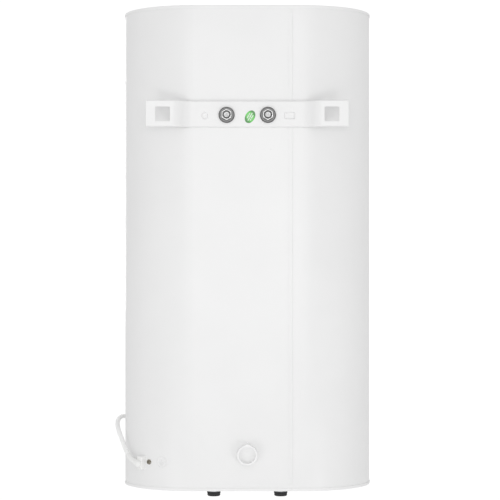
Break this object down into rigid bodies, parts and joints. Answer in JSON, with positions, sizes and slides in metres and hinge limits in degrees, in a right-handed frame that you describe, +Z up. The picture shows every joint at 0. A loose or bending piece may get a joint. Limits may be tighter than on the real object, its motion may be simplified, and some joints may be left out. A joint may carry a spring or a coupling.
{
  "type": "tank water heater",
  "caption": "Wall-hung electric storage water heater: flat oval casing over twin upright tanks, rear hook bracket, pipe connections below and a free supply cord.",
  "frame": {"origin": "on the wall plane, midway between the two square hook windows of the wall bracket", "axes": "+Z up, +Y into the wall behind the heater, the control panel faces -Y, +X to the right of a person facing the panel"},
  "size_m": [0.4682, 0.3031, 0.8844],
  "materials": {
    "casing_paint": "semi-gloss white stove enamel",
    "cover_plastic": "white moulded plastic",
    "bracket_paint": "semi-gloss white powder coat",
    "bolt_steel": "bright zinc plate",
    "washer_steel": "dull grey zinc plate",
    "spacer_plastic": "white moulded plastic",
    "sticker_green": "green printed film",
    "gland_plastic": "white nylon",
    "earth_brass": "dull yellow passivated",
    "cord_sheath": "white PVC sheath",
    "plug_plastic": "white moulded PVC",
    "pin_metal": "nickel plate",
    "tie_plastic": "black tie",
    "tank_enamel": "blue-grey vitreous enamel",
    "foam": "rigid polyurethane foam",
    "steel_plate": "zinc-plated steel",
    "gasket_rubber": "black EPDM",
    "element_sheath": "stainless sheath",
    "anode_metal": "magnesium, taken as aluminium",
    "cold_ring": "blue plastic",
    "hot_ring": "red plastic",
    "cap_black": "black polyethylene",
    "water_plastic": "natural polypropylene",
    "fascia_plastic": "light grey plastic",
    "knob_plastic": "white plastic",
    "rocker_red": "red translucent plastic",
    "switch_black": "black nylon",
    "lamp_amber": "amber lens",
    "dial_white": "white dial in a grey case",
    "needle_red": "red",
    "dial_glass": "clear lens",
    "wire_pvc": "PVC insulated leads",
    "copper_tube": "copper capillary",
    "block_plastic": "cream ceramic-filled plastic",
    "reset_red": "red"
  },
  "bodies": {
    "heater": {"bay_wiring": "wire_pvc", "bottom_cover": "cover_plastic", "bracket_bolts": "bolt_steel", "cable_gland": "gland_plastic", "casing_shell": "casing_paint", "check_sticker": "sticker_green", "control_chassis": "steel_plate", "control_fascia": "fascia_plastic", "cord_coil": "cord_sheath", "cord_tie": "tie_plastic", "cover_posts": "block_plastic", "cover_screws": "bolt_steel", "earth_screw": "earth_brass", "earth_washer": "pin_metal", "flange_gaskets": "gasket_rubber", "flange_screws": "bolt_steel", "flat_washers": "washer_steel", "inlet_anode": "anode_metal", "inlet_diffuser": "water_plastic", "inlet_element": "element_sheath", "inlet_flange": "steel_plate", "inlet_nipple": "steel_plate", "inlet_ring": "cold_ring", "inlet_tank": "tank_enamel", "insulation_foam": "foam", "lamp_lenses": "lamp_amber", "mounting_strap": "steel_plate", "outlet_anode": "anode_metal", "outlet_dip_tube": "water_plastic", "outlet_element": "element_sheath", "outlet_flange": "steel_plate", "outlet_nipple": "steel_plate", "outlet_ring": "hot_ring", "outlet_tank": "tank_enamel", "plug_body": "plug_plastic", "plug_lead": "cord_sheath", "plug_pins": "pin_metal", "power_cord": "cord_sheath", "rocker_frames": "switch_black", "safety_cutout": "block_plastic", "spring_washers": "washer_steel", "tank_link_pipe": "element_sheath", "terminal_block": "block_plastic", "terminal_screws": "bolt_steel", "thermometer_case": "dial_white", "thermometer_lens": "dial_glass", "thermostat": "block_plastic", "thermostat_capillary": "copper_tube", "thermowells": "element_sheath", "top_cover": "cover_plastic", "wall_bracket": "bracket_paint", "wall_spacer": "spacer_plastic"},
    "knob": {"temperature_knob": "knob_plastic", "thermostat_shaft": "bolt_steel"},
    "power_switch": {"power_rocker": "rocker_red"},
    "boost_switch": {"boost_rocker": "rocker_red"},
    "needle": {"thermometer_needle": "needle_red"},
    "reset": {"reset_button": "reset_red"},
    "cold_cap": {"inlet_cap": "cap_black"},
    "hot_cap": {"outlet_cap": "cap_black"}
  },
  "joints": [
    {"name": "knob_turn", "type": "hinge", "parent": "heater", "child": "knob", "pos_m": [0.052, -0.2795, -0.6257], "axis": [0, 1, 0], "range_deg": [0, 270]},
    {"name": "power_rock", "type": "hinge", "parent": "heater", "child": "power_switch", "pos_m": [-0.016, -0.279, -0.6257], "axis": [1, 0, 0], "range_deg": [0, 16]},
    {"name": "boost_rock", "type": "hinge", "parent": "heater", "child": "boost_switch", "pos_m": [0.014, -0.279, -0.6257], "axis": [1, 0, 0], "range_deg": [0, 16]},
    {"name": "needle_swing", "type": "hinge", "parent": "heater", "child": "needle", "pos_m": [-0.052, -0.281, -0.6257], "axis": [0, 1, 0], "range_deg": [0, 240]},
    {"name": "reset_press", "type": "slide", "parent": "heater", "child": "reset", "axis": [0, 0, 1], "range_m": [0, 0.0025], "stiffness_N_per_m": 400, "springref_m": -0.001},
    {"name": "cold_cap_pull", "type": "slide", "parent": "heater", "child": "cold_cap", "axis": [0, 0, -1], "range_m": [0, 0.04]},
    {"name": "hot_cap_pull", "type": "slide", "parent": "heater", "child": "hot_cap", "axis": [0, 0, -1], "range_m": [0, 0.04]}
  ]
}
